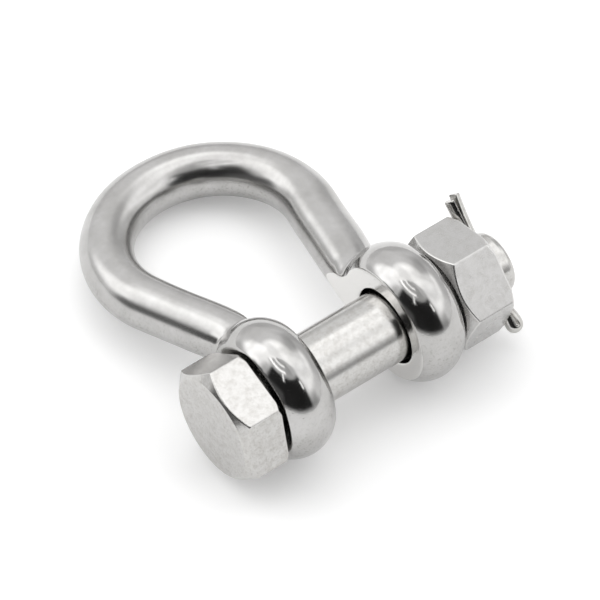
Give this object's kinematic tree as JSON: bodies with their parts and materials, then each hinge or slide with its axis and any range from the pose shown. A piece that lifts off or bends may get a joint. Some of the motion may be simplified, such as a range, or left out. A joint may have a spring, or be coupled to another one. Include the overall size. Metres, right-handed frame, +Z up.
{
  "type": "bow shackle",
  "caption": "Polished steel bow shackle with a hexagon-head bolt across its jaw, locked by a hexagon nut and a split pin; joins rope, chain or wire ends.",
  "frame": {"origin": "on the bolt's axis, halfway between the two eyes", "axes": "+X along the bolt from its head towards the nut, +Y towards the crown of the bow, +Z up from the table the shackle lies on"},
  "size_m": [0.0376, 0.0445, 0.0156],
  "materials": {
    "polished_steel": "electropolished stainless steel",
    "turned_steel": "turned and lightly tumbled stainless steel",
    "nut_steel": "satin stainless steel with a bright chamfer",
    "wire_steel": "drawn stainless wire"
  },
  "bodies": {
    "bow": {"bow": "polished_steel"},
    "bolt": {"bolt": "turned_steel"},
    "nut": {"nut": "nut_steel"},
    "cotter_pin": {"cotter_pin": "wire_steel"}
  },
  "joints": [
    {"name": "bolt_spin", "type": "hinge", "parent": "bow", "child": "bolt", "pos_m": [0, 0, 0], "axis": [1, 0, 0], "continuous": true},
    {"name": "nut_turn", "type": "hinge", "parent": "bolt", "child": "nut", "pos_m": [0.015, 0, 0], "axis": [1, 0, 0], "range_deg": [-280, 50]},
    {"name": "cotter_play", "type": "slide", "parent": "bolt", "child": "cotter_pin", "axis": [0, -0.7071, -0.7071], "range_m": [-0.0015, 0.0022]}
  ]
}
